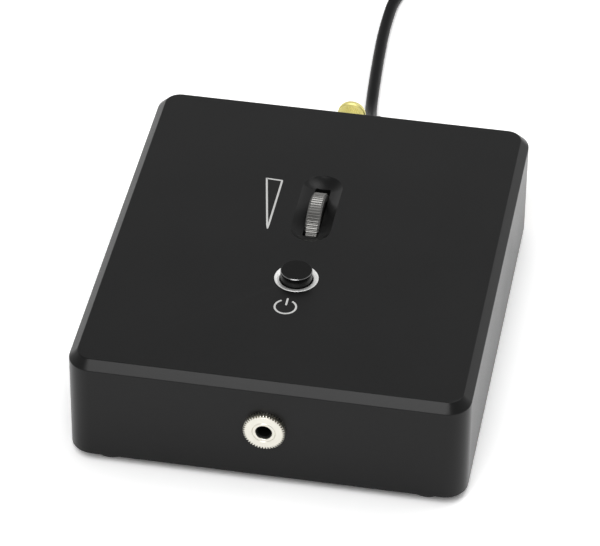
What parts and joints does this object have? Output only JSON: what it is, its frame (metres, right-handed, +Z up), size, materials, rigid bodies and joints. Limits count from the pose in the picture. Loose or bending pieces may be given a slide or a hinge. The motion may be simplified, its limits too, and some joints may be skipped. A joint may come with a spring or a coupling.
{
  "type": "phono preamp",
  "caption": "Low milled black box with a recessed knurled volume wheel, a push button in a bright ring, a front headphone jack, rear phono sockets, a ground terminal and a thin supply lead.",
  "frame": {"origin": "on the desk, under the middle of the box that holds the object without its supply lead", "axes": "+Y towards the rear, where the lead leaves; +Z up; the front with the jack faces -Y"},
  "size_m": [0.104, 0.3951, 0.0356],
  "materials": {
    "black_anodised": "matt black anodised",
    "black_cap": "satin black anodised",
    "bright_ring": "bright",
    "wheel_metal": "bright turned",
    "gold": "gold plated",
    "pale_gold": "gold plated, bright",
    "steel": "zinc plated",
    "foot_rubber": "matt",
    "cord_rubber": "semi-matt",
    "white_plastic": "gloss",
    "red_plastic": "gloss",
    "black_plastic": "fine grain",
    "board_green": "solder mask",
    "can_sleeve": "shrink sleeve",
    "film_red": "moulded",
    "resistor_blue": "lacquer",
    "tinned": "tinned",
    "wire_green": "insulation"
  },
  "bodies": {
    "case": {"housing": "black_anodised", "base_plate": "black_anodised", "feet": "foot_rubber", "base_screws": "steel", "potentiometer_case": "steel", "potentiometer_nut": "steel", "potentiometer_bracket": "steel", "potentiometer_pins": "tinned", "bracket_screws": "steel", "button_ring": "bright_ring", "switch_case": "black_plastic", "switch_spring": "steel", "switch_pins": "tinned", "jack_nut": "pale_gold", "jack_bush": "pale_gold", "jack_block": "black_plastic", "jack_contacts": "tinned", "circuit_board": "board_green", "board_pillars": "steel", "board_screws": "steel", "rca_shells": "gold", "rca_insulators_white": "white_plastic", "rca_insulators_red": "red_plastic", "rca_contacts": "gold", "rca_nuts": "gold", "rca_blocks": "black_plastic", "ground_post": "gold", "ground_tag": "tinned", "ground_locknut": "steel", "ground_wire": "wire_green", "cord_grommet": "black_plastic", "supply_wires": "cord_rubber", "power_cord": "cord_rubber", "cord_coil": "cord_rubber", "adapter_lead": "cord_rubber", "adapter_relief": "black_plastic", "adapter_body": "black_plastic", "adapter_pins": "tinned", "op_amps": "black_plastic", "op_amp_legs": "tinned", "capacitor_cans": "can_sleeve", "film_capacitors": "film_red", "regulator": "black_plastic", "regulator_legs": "tinned", "resistors": "resistor_blue"},
    "volume": {"volume_wheel": "wheel_metal", "wheel_set_screw": "steel", "wheel_shaft": "steel"},
    "button": {"power_button": "black_cap", "switch_plunger": "white_plastic"},
    "ground_washer": {"ground_washer": "gold"},
    "ground_knob": {"ground_knob": "gold"}
  },
  "joints": [
    {"name": "volume_turn", "type": "hinge", "parent": "case", "child": "volume", "pos_m": [0, 0.0061, 0.0244], "axis": [1, 0, 0], "range_deg": [-145, 145]},
    {"name": "button_press", "type": "slide", "parent": "case", "child": "button", "axis": [0, 0, -1], "range_m": [0, 0.002], "stiffness_N_per_m": 300, "springref_m": -0.002, "deforming": ["switch_spring"]},
    {"name": "ground_slide", "type": "slide", "parent": "case", "child": "ground_washer", "axis": [0, 1, 0], "range_m": [0, 0.0021]},
    {"name": "ground_turn", "type": "hinge", "parent": "ground_washer", "child": "ground_knob", "pos_m": [-0.001, 0.05885, 0.0188], "axis": [0, 1, 0], "range_deg": [0, 1080]}
  ],
  "couplings": [
    {"joint": "ground_turn", "follows": "ground_slide", "rad_per_m": 8976}
  ]
}
